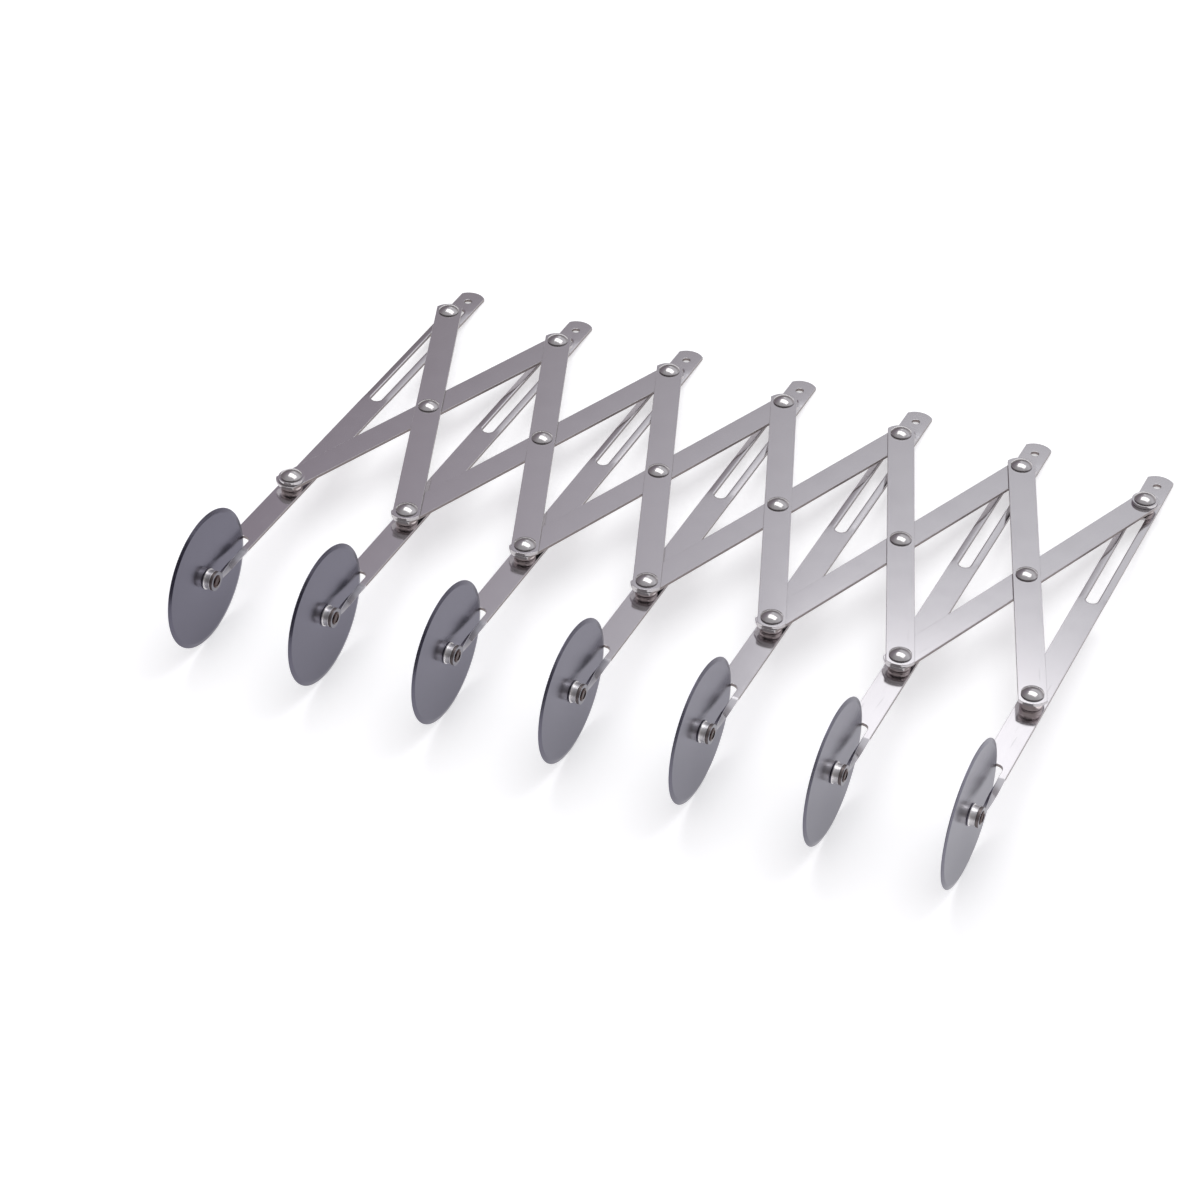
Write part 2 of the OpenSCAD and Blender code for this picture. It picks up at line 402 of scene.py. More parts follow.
def round_ended(width: float, radius: float, low: float, high: float, sides: int, ends: int) -> list[Flat]:
    """Outline of a strip or slot along Y with two round ends.

    Args:
        width: Half its width.
        radius: Radius of its ends, which may be larger.
        low: Centre of its front end.
        high: Centre of its rear end.
        sides: Steps of each side.
        ends: Steps of each end.

    Returns:
        The points, from the front of the right side.
    """
    lean = math.acos(width / radius)
    rise = radius * math.sin(lean)
    return [
        *straight((width, low - rise), (width, high + rise), sides),
        *arc((0, high), radius, lean, math.pi - lean, ends)[:-1],
        *straight((-width, high + rise), (-width, low - rise), sides),
        *arc((0, low), radius, math.pi + lean, FULL_TURN - lean, ends)[:-1],
    ]


def from_above(spot: Spot) -> Flat:
    """A point's place in the plane of a flat strip."""
    return spot[0], spot[1]


def from_the_side(spot: Spot) -> Flat:
    """A point's place in the plane of an upright ear."""
    return spot[1], spot[2]


@dataclass
class MeshDraft:
    """Points and faces of one piece while it is drawn flat, in millimetres."""

    spots: list[Spot] = field(default_factory=list)
    grain: list[Spot] = field(default_factory=list)
    bent_and_shaded: list[float] = field(default_factory=list)
    shorn: list[float] = field(default_factory=list)
    faces: list[tuple[int, ...]] = field(default_factory=list)

    CLOSE: ClassVar[float] = 1e-6

    def add(self, spots: Iterable[Spot], grain: Iterable[Spot] | None = None,
            bent_and_shaded: float | list[float] = 0.0, shorn: float | list[float] = 0.0) -> list[int]:
        """Adds points.

        Args:
            spots: Their places.
            grain: Their places on the flat strip before it was shaped, if these differ.
            bent_and_shaded: How dull the bending has left the steel there and how much painted shade darkens
                it, from 0 to 1, for all or for each.
            shorn: How much torn metal of the cut shows there, from 0 to 1, for all or for each.

        Returns:
            The new points' numbers.
        """
        first = len(self.spots)
        self.spots.extend(spots)
        self.grain.extend(self.spots[first:] if grain is None else grain)
        count = len(self.spots) - first
        self.bent_and_shaded.extend(bent_and_shaded if isinstance(bent_and_shaded, list) else [bent_and_shaded] * count)
        self.shorn.extend(shorn if isinstance(shorn, list) else [shorn] * count)
        return list(range(first, len(self.spots)))

    def bridge(self, one: Sequence[int], two: Sequence[int], closed: bool = True,
               gaps: Sequence[int] = ()) -> None:
        """Joins two rows of points with a band of faces.

        Args:
            one: Numbers of the first row.
            two: Numbers of the second row, as many.
            closed: Whether the band goes all the way round.
            gaps: Steps of the rows that stay open.
        """
        count = len(one)
        for k in range(count if closed else count - 1):
            if k not in gaps:
                nxt = (k + 1) % count
                self.faces.append((one[k], one[nxt], two[nxt], two[k]))

    def wall(self, shape: Outline, edge: EdgeRound, thickness: float, hole: bool = True,
             torn_shares: Sequence[float] = (), gaps: Sequence[int] = ()) -> list[list[int]]:
        """Draws the wall of a strip's outline or of a hole in it.

        Args:
            shape: Gives its points at a distance from the edge into the metal.
            edge: The rounding of its edges.
            thickness: Thickness of the strip.
            hole: Whether the metal lies outside it.
            torn_shares: How much of the torn metal's colour each point keeps, if not all of it.
            gaps: Steps of the outline that stay open.

        Returns:
            The wall's rows of points, from the top face down.
        """
        rows = []
        for inside, depth, shorn in edge.levels(thickness):
            torn = [shorn * share for share in torn_shares] if torn_shares else shorn
            rows.append(self.add([(x, y, -depth) for x, y in shape(inside)], shorn=torn))
        for one, two in zip(rows, rows[1:]):
            self.bridge(*((two, one) if hole else (one, two)), gaps=gaps)
        return rows

    def fill(self, loops: Sequence[Sequence[int]], flat: Callable[[Spot], Flat],
             free: Sequence[int] = ()) -> None:
        """Fills the face inside the first loop and outside the others.

        Args:
            loops: Numbers of the outline's points, then of each hole's.
            flat: Gives a point's two coordinates in the face's plane.
            free: Numbers of points inside the face that it passes through.
        """
        numbers = [n for loop in loops for n in loop] + list(free)
        places = [Vector(flat(self.spots[n])) for n in numbers]
        edges, first = [], 0
        for loop in loops:
            edges += [(first + k, first + (k + 1) % len(loop)) for k in range(len(loop))]
            first += len(loop)
        ends = np.array([[places[a], places[b]] for a, b in edges])
        corners, _, triangles, sources, _, _ = delaunay_2d_cdt(places, edges, [], 0, self.CLOSE)
        for triangle in triangles:
            middle = sum((corners[k] for k in triangle), Vector((0, 0))) / 3
            if self._inside(middle, ends):
                self.faces.append(tuple(numbers[sources[k][0]] for k in triangle))

    @staticmethod
    def _inside(spot: Vector, ends: np.ndarray) -> bool:
        """Whether a point is inside an odd number of the loops.

        Args:
            spot: The point.
            ends: The two ends of each edge of the loops.

        Returns:
            True where the face is solid.
        """
        (xa, ya), (xb, yb) = ends[:, 0].T, ends[:, 1].T
        spans = (ya > spot.y) != (yb > spot.y)
        rise = np.where(spans, yb - ya, 1.0)
        crossed = spans & (spot.x < (xb - xa) * (spot.y - ya) / rise + xa)
        return bool(crossed.sum() % 2)

    def mesh(self, name: str, place: Matrix) -> Mesh:
        """Turns the draft into a mesh that lies at its place in the CAD frame.

        Args:
            name: Name of the mesh.
            place: Matrix from the drawing to the CAD frame, in millimetres.

        Returns:
            The mesh, closed, with its faces outwards and its edges shaded round.
        """
        made = bpy.data.meshes.new(name)
        made.from_pydata([(place @ Vector(s)) * MM for s in self.spots], [], self.faces)
        layer = made.attributes.new(GRAIN, "FLOAT_VECTOR", "POINT")
        layer.data.foreach_set("vector", (np.array(self.grain, np.float32) * MM).ravel())
        for mark, values in ((BENT_AND_SHADED, self.bent_and_shaded), (SHORN, self.shorn)):
            layer = made.attributes.new(mark, "FLOAT", "POINT")
            layer.data.foreach_set("value", np.array(values, np.float32))
        return settled(made)


def settled(mesh: Mesh, within: float = 1e-7) -> Mesh:
    """Merges doubles, turns the faces outwards and shades flats flat and rounds round.

    Args:
        mesh: The mesh, which is changed.
        within: How close doubles lie, in metres.

    Returns:
        The same mesh.
    """
    work = bmesh.new()
    work.from_mesh(mesh)
    bmesh.ops.remove_doubles(work, verts=work.verts, dist=within)
    bmesh.ops.recalc_face_normals(work, faces=work.faces)
    work.to_mesh(mesh)
    work.free()
    mesh.shade_smooth()
    normals = np.zeros((len(mesh.vertices), 3))
    for face in mesh.polygons:
        normals[list(face.vertices)] += np.array(face.normal) * face.area
    lengths = np.linalg.norm(normals, axis=1, keepdims=True)
    normals /= np.where(lengths > 0, lengths, 1.0)
    mesh.normals_split_custom_set_from_vertices(normals.tolist())
    return mesh


def seat(mesh: Mesh, body: str, node: str, finish: SteelFinish) -> Piece:
    """Makes a piece of a mesh, under the mesh's own name, in place of a CAD node.

    Args:
        mesh: Its mesh, in the CAD frame.
        body: The CAD body that it moves with.
        node: The CAD node that it stands for.
        finish: Its finish.

    Returns:
        The piece.
    """
    piece = bpy.data.objects.new(mesh.name, mesh)
    bpy.context.scene.collection.objects.link(piece)
    if not mesh.materials:
        mesh.materials.append(finish.material())
    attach(piece, body)
    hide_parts(node)
    LOG.info("%s on %s: %d faces", piece.name, body, len(mesh.polygons))
    return piece


@dataclass(frozen=True)
class Corner:
    """A corner of a turned profile: radius and height as sums of named sizes, and its rounding."""

    radius: Sum
    height: Sum
    rounding: str | None = None


@dataclass(frozen=True)
class TurnedShape:
    """A turned piece: a profile of corners, drawn from named sizes by Geometry Nodes and spun round."""

    name: str
    corners: tuple[Corner, ...]
    ring: bool
    facets: int = 64

    PATH_R: ClassVar[float] = 10.0
    ARC_POINTS: ClassVar[int] = 7
    SEAM: ClassVar[float] = 1e-6

    def sizes(self) -> list[str]:
        """Names of the sizes that the profile uses, in order of first use."""
        names = [n for c in self.corners for n in [t[1] for t in (*c.radius, *c.height)] + [c.rounding]]
        return [n for n in dict.fromkeys(names) if n]

    def tree(self) -> bpy.types.NodeTree:
        """Gives the shape's Geometry Nodes tree, made at its first use."""
        return bpy.data.node_groups.get(self.name) or self._make()

    def _make(self) -> bpy.types.NodeTree:
        """Builds the tree.

        Returns:
            A tree whose named inputs are the sizes, in metres, the facets and the finish.
        """
        made = bpy.data.node_groups.new(self.name, "GeometryNodeTree")
        kinds = {"Geometry": "Geometry", **dict.fromkeys(self.sizes(), "Float")}
        for name, kind in {**kinds, "Facets": "Int", "Finish": "Material"}.items():
            made.interface.new_socket(name, in_out="INPUT", socket_type=f"NodeSocket{kind}")
        made.interface.new_socket("Geometry", in_out="OUTPUT", socket_type="NodeSocketGeometry")
        wires = NodeWires(made)
        given = wires.node("NodeGroupInput").outputs
        path = wires.node("GeometryNodeCurvePrimitiveCircle", {
            "Resolution": given["Facets"], "Radius": self.PATH_R * MM,
        })
        spun = wires.node("GeometryNodeCurveToMesh", {
            "Curve": path.outputs[0], "Profile Curve": self._profile(wires, given),
        })
        joined = wires.node("GeometryNodeMergeByDistance", {
            "Geometry": spun.outputs[0], "Distance": self.SEAM,
        })
        marked = wires.node("GeometryNodeStoreNamedAttribute", {
            "Geometry": joined.outputs[0], "Name": GRAIN,
            "Value": wires.node("GeometryNodeInputPosition").outputs[0],
        }, data_type="FLOAT_VECTOR", domain="POINT")
        real = wires.node("GeometryNodeRealizeInstances", {0: marked.outputs[0]})
        dressed = wires.node("GeometryNodeSetMaterial", {
            "Geometry": real.outputs[0], "Material": given["Finish"],
        })
        wires.node("NodeGroupOutput", {0: dressed.outputs[0]})
        return made

    def _profile(self, wires: NodeWires, given: bpy.types.NodeOutputs) -> Socket:
        """Adds the nodes that draw the rounded profile.

        Args:
            wires: The tree.
            given: The tree's own inputs.

        Returns:
            The profile curve's output.
        """
        count = len(self.corners)
        if self.ring:
            row = wires.node("GeometryNodeMeshCircle", {"Vertices": count})
        else:
            row = wires.node("GeometryNodeMeshLine", {"Count": count})
        places, rounds = self._chooser(wires, "VECTOR"), self._chooser(wires, "FLOAT")
        for k, corner in enumerate(self.corners, 1):
            out = wires.math("SUBTRACT", self._sum(wires, given, corner.radius), self.PATH_R * MM)
            up = wires.math("MULTIPLY", self._sum(wires, given, corner.height), -1.0)
            wires.join(wires.node("ShaderNodeCombineXYZ", {0: out, 1: up}).outputs[0], places.inputs[k])
            wires.join(given[corner.rounding] if corner.rounding else 0.0, rounds.inputs[k])
        laid = wires.node("GeometryNodeSetPosition", {
            "Geometry": row.outputs["Mesh"], "Position": places.outputs[0],
        })
        curve = wires.node("GeometryNodeMeshToCurve", {"Mesh": laid.outputs[0]})
        rounded = wires.node("GeometryNodeFilletCurve", {
            "Curve": curve.outputs[0], "Count": self.ARC_POINTS, "Radius": rounds.outputs[0],
            "Limit Radius": True,
        }, mode="POLY")
        return rounded.outputs[0]

    def _chooser(self, wires: NodeWires, kind: str) -> bpy.types.Node:
        """Adds a switch with one value for each corner.

        Args:
            wires: The tree.
            kind: Blender's name of the data type.

        Returns:
            The switch node.
        """
        made = wires.node("GeometryNodeIndexSwitch", data_type=kind)
        for _ in range(len(self.corners) - len(made.index_switch_items)):
            made.index_switch_items.new()
        wires.join(wires.node("GeometryNodeInputIndex").outputs[0], made.inputs["Index"])
        return made

    @staticmethod
    def _sum(wires: NodeWires, given: bpy.types.NodeOutputs, terms: Sum) -> object:
        """Adds up named sizes.

        Args:
            wires: The tree.
            given: The tree's own inputs.
            terms: Factors and names of the sizes.

        Returns:
            The sum's output, or 0.0 for an empty sum.
        """
        total: object = 0.0
        for factor, name in terms:
            total = wires.math("MULTIPLY_ADD", given[name], factor, total)
        return total

    def mesh(self, name: str, place: Matrix, finish: SteelFinish, sizes: dict[str, float]) -> Mesh:
        """Spins the shape at given sizes and puts it in its place.

        Args:
            name: Name of the mesh.
            place: Matrix from the shape's own axis to the CAD frame, in millimetres.
            finish: Its finish.
            sizes: A value for each named size, in millimetres.

        Returns:
            The mesh, in metres in the CAD frame.
        """
        tree = self.tree()
        blank = bpy.data.objects.new(name + "_turning", bpy.data.meshes.new(name + "_blank"))
        bpy.context.scene.collection.objects.link(blank)
        spin = blank.modifiers.new("turning", "NODES")
        spin.node_group = tree
        keys = {item.name: item.identifier for item in tree.interface.items_tree if item.in_out == "INPUT"}
        for key in self.sizes():
            spin[keys[key]] = sizes[key] * MM
        spin[keys["Facets"]] = self.facets
        spin[keys["Finish"]] = finish.material()
        graph = bpy.context.evaluated_depsgraph_get()
        done = blank.evaluated_get(graph)
        made = bpy.data.meshes.new_from_object(done, preserve_all_data_layers=True, depsgraph=graph)
        blank.modifiers.clear()
        bpy.data.objects.remove(blank)
        made.name = name
        shift = place.copy()
        shift.translation = place.translation * MM
        made.transform(shift)
        return settled(made)


def named(name: str, factor: float = 1.0) -> Sum:
    """A sum of one named size."""
    return ((factor, name),)


def mirrored(*half: Corner) -> tuple[Corner, ...]:
    """A profile with two equal ends, from the corners of its upper half, listed from the end inwards."""
    lower = [Corner(c.radius, tuple((-f, name) for f, name in c.height), c.rounding) for c in half]
    return (*lower, *half[::-1])


FOOT_LOW = named("Foot top") + named("Foot height", -1)
HEAD_TOP = named("Head base") + named("Head height")
RING_TOP = named("Base") + named("Height")
FLANK = named("Thickness", 0.5)
COLLAR_END = FLANK + named("Collar length")
PIN_END = named("Half length") + named("Head height")
PIN_DIMPLE = PIN_END + named("Dimple depth", -1)

RIVET = TurnedShape("domed_rivet", (
    Corner((), FOOT_LOW),
    Corner(named("Foot radius"), FOOT_LOW, "Edge round"),
    Corner(named("Foot radius"), named("Foot top"), "Edge round"),
    Corner(named("Shank radius"), named("Foot top")),
    Corner(named("Shank radius"), named("Head base")),
    Corner(named("Head radius"), named("Head base"), "Edge round"),
    Corner(named("Head radius"), named("Head base") + named("Rim height"), "Edge round"),
    Corner(named("Dome corner"), HEAD_TOP, "Dome round"),
    Corner((), HEAD_TOP),
), ring=False)

RING = TurnedShape("spacer_ring", (
    Corner(named("Bore radius"), named("Base"), "Edge round"),
    Corner(named("Outer radius"), named("Base"), "Edge round"),
    Corner(named("Outer radius"), RING_TOP, "Edge round"),
    Corner(named("Bore radius"), RING_TOP, "Edge round"),
), ring=True)

BLADE = TurnedShape("cutting_blade", mirrored(
    Corner(named("Bore radius"), FLANK),
    Corner(named("Rim radius") + named("Bevel width", -1), FLANK, "Shoulder round"),
    Corner(named("Rim radius"), named("Edge thickness", 0.5), "Edge round"),
), ring=True, facets=160)

HUB = TurnedShape("collared_hub", mirrored(
    Corner(named("Bore radius"), named("Length", 0.5), "Edge round"),
    Corner(named("Hub radius"), named("Length", 0.5), "Edge round"),
    Corner(named("Hub radius"), COLLAR_END),
    Corner(named("Collar radius"), COLLAR_END, "Edge round"),
    Corner(named("Collar radius"), FLANK),
    Corner(named("Waist radius"), FLANK),
), ring=True)

PIN = TurnedShape("peened_axle_pin", mirrored(
    Corner((), PIN_DIMPLE),
    Corner(named("Dimple radius"), PIN_DIMPLE, "Edge round"),
    Corner(named("Lip radius"), PIN_END, "Edge round"),
    Corner(named("Head radius"), named("Half length") + named("Rim height"), "Edge round"),
    Corner(named("Head radius"), named("Half length")),
    Corner(named("Pin radius"), named("Half length")),
), ring=False)


@dataclass
class RivetStack:
    """A domed rivet with the spacer tube and the washer that are strung on it."""

    sizes: CutterSizes
    head_d: float = 8.0
    head_h: float = 2.0
    head_rim: float = 0.4
    foot_d: float = 7.0
    foot_h: float = 1.0
    spacer_d: float = 8.0
    washer_d: float = 9.6
    edge_round: float = 0.12
    spacer_round: float = 0.8

    def rivet(self, name: str, place: Matrix, foot_top: float) -> Mesh:
        """Makes the rivet.

        Args:
            name: Name of the mesh.
            place: Matrix of the rivet's axis, with zero height at the bars' top face.
            foot_top: Height of the upper face of its flat foot.

        Returns:
            The rivet's mesh.
        """
        cap, half = self.head_h - self.head_rim, self.head_d / 2
        bulge = half * half + cap * cap
        return RIVET.mesh(name, place, DOMED, {
            "Foot top": foot_top, "Foot height": self.foot_h, "Foot radius": self.foot_d / 2,
            "Shank radius": self.sizes.rivet_d / 2, "Head base": self.sizes.head_z, "Head radius": half,
            "Rim height": self.head_rim, "Head height": self.head_h, "Edge round": self.edge_round,
            "Dome corner": bulge / (2 * half), "Dome round": bulge / (2 * cap),
        })

    def ring(self, name: str, place: Matrix, span: Flat, outer_d: float, edge: float,
             finish: SteelFinish) -> Mesh:
        """Makes a ring round a rivet between two heights, with rounded edges."""
        return RING.mesh(name, place, finish, {
            "Bore radius": self.sizes.pivot_r, "Outer radius": outer_d / 2, "Base": span[0],
            "Height": span[1] - span[0], "Edge round": edge,
        })

    def build(self, body: str, end: str, bar: int, place: Matrix, gap: float, upper: bool,
              lower: bool) -> list[Piece]:
        """Builds and dresses a rivet through a bar and what is strung on it.

        Args:
            body: The CAD body that they move with.
            end: Which row of rivets it is in, front or rear.
            bar: Number of the bar.
            place: Matrix of the rivet's axis, with zero height at the bars' top face.
            gap: Clearance to the bar above it and below.
            upper: Whether an upper link is on the rivet. If not, a washer stands in for it.
            lower: Whether a lower link is on the rivet. If not, the spacer tube is taller.

        Returns:
            The pieces.
        """
        size, node = self.sizes, f"{end}_pivot_{bar}"
        top = size.spacer_h if lower else size.upper_z - size.layer_gap
        rivet = self.rivet(f"{body}_{end}_rivet", place, -size.strip_t - gap)
        tube = self.spacer_d, self.spacer_round
        spacer = self.ring(f"{body}_{end}_spacer", place, (gap, top), *tube, BARREL)
        made = [seat(rivet, body, node, DOMED), seat(spacer, body, node, BARREL)]
        if not upper:
            span = size.upper_z, size.upper_z + size.strip_t
            washer = self.ring(f"{body}_washer", place, span, self.washer_d, self.edge_round, STRIP)
            made.append(seat(washer, body, node, STRIP))
        return made


@dataclass
class WheelBar:
    """A bar with its fork, twisted prongs and ears, guide slot, front rivet and axle pin."""

    number: int
    sizes: CutterSizes
    stack: RivetStack
    hang_inset: float = 7.0
    hang_d: float = 3.0
    axle_head_d: float = 4.8
    axle_head_h: float = 0.4
    axle_rim: float = 0.15
    dimple_d: float = 2.8
    dimple_depth: float = 0.3
    lip_w: float = 0.3
    pin_round: float = 0.12
    ear_fillet: float = 1.0
    rail_roll: float = math.radians(7.0)
    roll_ramp: float = 4.0
    # Painted shade on the twists: the first bars' twists darken soon after the root and the last bars' twists
    # only near the ear, where light falls on them; a twist's inner wall stays lighter than its outer side.
    bend_shade_ramp: float = 0.08
    late_bend_shade_ramp: float = 0.9
    late_bend_shade_from: int = 5
    outer_side_bend_shade: float = 0.6
    inner_wall_bend_shade: float = 0.1
    twist_steps: int = 40
    hole_steps: int = 32
    side_steps: int = 40
    rail_columns: int = 4
    prong_steps: int = 4
    fillet_steps: int = 6

    @property
    def body(self) -> str:
        """The CAD body that the bar is."""
        return f"bar_{self.number}"

    def build(self) -> list[Piece]:
        """Builds and dresses the bar and what is fixed to it.

        Returns:
            The pieces.
        """
        size, n, body = self.sizes, self.number, self.body
        place = size.at(size.bar_x(n), 0)
        return [
            seat(self.strip(place), body, f"wheel_bar_{n}", STRIP),
            *self.stack.build(body, "front", n, place, 0.0, upper=n > 1, lower=n < size.discs),
            seat(self.axle_pin(), body, f"axle_pin_{n}", PINNED),
        ]

    def axle_pin(self) -> Mesh:
        """Makes the pin through both ears, peened at its ends.

        Returns:
            The pin's mesh.
        """
        size = self.sizes
        place = size.at(size.bar_x(self.number), size.axle_y, size.axle_z)
        axis = place @ Matrix.Rotation(QUARTER_TURN, 4, "Y")
        return PIN.mesh(f"{self.body}_axle_pin", axis, PINNED, {
            "Half length": size.ear_out, "Pin radius": size.axle_d / 2, "Edge round": self.pin_round,
            "Head radius": self.axle_head_d / 2, "Head height": self.axle_head_h, "Rim height": self.axle_rim,
            "Lip radius": self.dimple_d / 2 + self.lip_w, "Dimple radius": self.dimple_d / 2,
            "Dimple depth": self.dimple_depth,
        })

    def strip(self, place: Matrix) -> Mesh:
        """Makes the strip itself, with its twisted prongs.

        Args:
            place: The bar's matrix.

        Returns:
            The strip's mesh.
        """
        thickness = self.sizes.strip_t
        draft = MeshDraft()
        left, last = self.left_end(), len(self.outline(0.0)) - 1
        rows = draft.wall(self.outline, SHEARED, thickness, hole=False, gaps=(left, last))
        holes = [draft.wall(shape, edge, thickness) for shape, edge in self.openings()]
        free = draft.add([(x, y, 0.0) for x, y in self.rail_spots()])
        draft.fill([rows[0]] + [walls[0] for walls in holes], from_above, free)
        draft.fill([rows[-1]] + [walls[-1] for walls in holes], from_above)
        self.prong(draft, [row[last] for row in rows], [row[0] for row in rows], 1)
        self.prong(draft, [row[left + 1] for row in rows], [row[left] for row in rows], -1)
        draft.spots = [self.rolled(spot) for spot in draft.spots]
        return draft.mesh(f"{self.body}_strip", place)

    def left_end(self) -> int:
        """Number of the outline's point at the outer corner of the left prong."""
        return 2 * self.side_steps + self.hole_steps

    def outline(self, inset: float) -> list[Flat]:
        """Outline of the flat part of the bar, from the right prong's outer corner round to its inner one.

        Args:
            inset: How far inside the true outline.

        Returns:
            The outline's points, as many for every inset.
        """
        size, front = self.sizes, self.sizes.twist_y
        width, radius = size.half_w - inset, size.end_r - inset
        low, high = front + math.sqrt(radius ** 2 - width ** 2), size.tail_reach - size.end_r
        gap, root = size.fork_gap / 2 + inset, size.fork_root - size.fork_gap / 2
        return [
            *round_ended(width, radius, low, high, self.side_steps, self.hole_steps)[:self.left_end()],
            (-width, front),
            *straight((-gap, front), (-gap, root), self.prong_steps),
            *arc((0, root), gap, math.pi, 0, self.hole_steps),
            *straight((gap, root), (gap, front), self.prong_steps)[1:],
            (gap, front),
        ]

    def openings(self) -> list[tuple[Outline, EdgeRound]]:
        """Shapes of the holes in the flat part, each as a function of how far outside the hole it is drawn.

        Returns:
            The shapes with the rounding of their edges.
        """
        size = self.sizes
        hang_y = size.tail_reach - self.hang_inset
        return [
            (lambda out: circle(0, size.pivot_r + out, self.hole_steps), DRILLED),
            (lambda out: circle(hang_y, self.hang_d / 2 + out, self.hole_steps), DRILLED),
            (self.guide_slot, PUNCHED),
        ]

    def guide_slot(self, out: float) -> list[Flat]:
        """Outline of the guide slot, drawn a distance outside the true one."""
        size, reach = self.sizes, self.sizes.slot_w / 2 + out
        ends = size.slot_front, size.slot_rear
        return round_ended(reach, reach, *ends, self.side_steps, self.hole_steps // 2)

    def rail_spots(self) -> list[Flat]:
        """Points inside the two rails beside the guide slot, where the strip is rolled a little.

        Returns:
            The points.
        """
        size = self.sizes
        inner, outer = size.slot_w / 2 + PUNCHED.over, size.half_w - SHEARED.over
        columns = np.linspace(inner, outer, self.rail_columns + 2)[1:-1]
        rows = np.linspace(size.slot_front, size.slot_rear, 2 * self.side_steps)
        return [(side * float(x), float(y)) for side in (1, -1) for x in columns for y in rows]

    def rolled(self, spot: Spot) -> Spot:
        """Rolls the rails beside the slot outwards, as punching the slot leaves them.

        Args:
            spot: A point of the flat strip.

        Returns:
            Its place after the slot is punched.
        """
        size = self.sizes
        x, y, z = spot
        inside = min(y - size.slot_front, size.slot_rear - y)
        share = min(max(inside / self.roll_ramp + 0.5, 0.0), 1.0)
        inner = size.slot_w / 2
        reach = max(abs(x) - inner, 0.0) / (size.half_w - inner)
        drop = math.tan(self.rail_roll) * (size.half_w - inner) * reach * reach / 2
        return x, y, z - drop * share * share * (3 - 2 * share)

    def prong(self, draft: MeshDraft, inner: list[int], outer: list[int], side: int) -> None:
        """Twists one prong by a quarter turn and ends it in its round ear.

        Args:
            draft: The bar's draft, where the prong's cut end is.
            inner: Points of the cut end beside the gap, from the top face down.
            outer: Points of the cut end on the outer side, from the top face down.
            side: 1 for the right prong, -1 for the left.
        """
        size, count = self.sizes, len(inner)
        middle, height = size.twist_x, size.axle_z
        ring = inner + outer[::-1]
        # painted shade: this bar's twist darkens early or late, depending on how the light falls on it
        bend_shade_ramp = self.late_bend_shade_ramp if self.number >= self.late_bend_shade_from else self.bend_shade_ramp
        section = [(abs(draft.spots[n][0]) - middle, draft.spots[n][2] - height) for n in ring]
        for share in np.linspace(0, 1, self.twist_steps + 1)[1:].tolist():
            y = size.twist_y + (size.ear_y - size.twist_y) * share
            sin, cos = math.sin(QUARTER_TURN * share), math.cos(QUARTER_TURN * share)
            spots = [(side * (middle + x * cos + z * sin), y, height + z * cos - x * sin) for x, z in section]
            grain = [(side * (middle + x), y, height + z) for x, z in section]
            bend_shade = min(1.0, share / bend_shade_ramp)
            # the twist darkens along its length and least on its inner wall: partly the dullness of bent
            # steel, partly painted shade
            bent_and_shaded = [bend_shade, *[bend_shade * self.inner_wall_bend_shade] * (count - 2), bend_shade, *[bend_shade * self.outer_side_bend_shade] * count]
            nxt = draft.add(spots, grain, bent_and_shaded)
            draft.bridge(ring, nxt)
            ring = nxt
        self.ear(draft, ring[:count], ring[count:][::-1], side)

    def ear(self, draft: MeshDraft, upper: list[int], lower: list[int], side: int) -> None:
        """Draws the round ear at the end of a prong.

        Args:
            draft: The bar's draft.
            upper: Points along the upper edge of the twist's end, from the outer face inwards.
            lower: Points along its lower edge, in the same order.
            side: 1 for the right prong, -1 for the left.
        """
        size, fillet = self.sizes, self.ear_fillet
        half, radius = size.prong_w / 2, size.ear_d / 2
        centre = math.sqrt((radius + fillet) ** 2 - (half + fillet) ** 2)
        lean = math.atan2(half + fillet, centre)
        rows, walls = [], []
        for k, (inset, depth, shorn) in enumerate(SHEARED.levels(size.strip_t)):
            bend = (centre, half + fillet), fillet + inset
            over = arc(*bend, -QUARTER_TURN, lean - math.pi, self.fillet_steps)
            under = [(a, -b) for a, b in over[::-1]]
            rim = arc((0, 0), radius - inset, lean, FULL_TURN - lean, 2 * self.hole_steps)[1:-1]
            edge = self._ear_spots(draft, over + rim + under, depth, side, shorn)
            rows.append([upper[k], *edge, lower[k]])
            bore = circle(0, size.axle_r + inset, self.hole_steps)
            walls.append(self._ear_spots(draft, bore, depth, side, shorn))
        for one, two in zip(rows, rows[1:]):
            draft.bridge(one, two, closed=False)
        for one, two in zip(walls, walls[1:]):
            draft.bridge(two, one)
        for k in (0, -1):
            draft.fill([rows[k], walls[k]], from_the_side)

    def _ear_spots(self, draft: MeshDraft, flat: Sequence[Flat], depth: float, side: int,
                   shorn: float) -> list[int]:
        """Adds points of an ear.

        Args:
            draft: The bar's draft.
            flat: Their places in the ear's plane, from the axle: along the bar and upwards.
            depth: How far inside the ear's outer face they are.
            side: 1 for the right prong, -1 for the left.
            shorn: How much torn metal of the cut they show, from 0 to 1.

        Returns:
            The points' numbers.
        """
        size = self.sizes
        spots = [(side * (size.ear_out - depth), size.axle_y + a, size.axle_z + b) for a, b in flat]
        grain = [(side * (size.twist_x - b), size.axle_y + a, -depth) for a, b in flat]
        # an ear is dulled and darkened all over: partly bent steel, partly painted shade as dark as the disc
        # beside it
        return draft.add(spots, grain, 1.0, shorn)


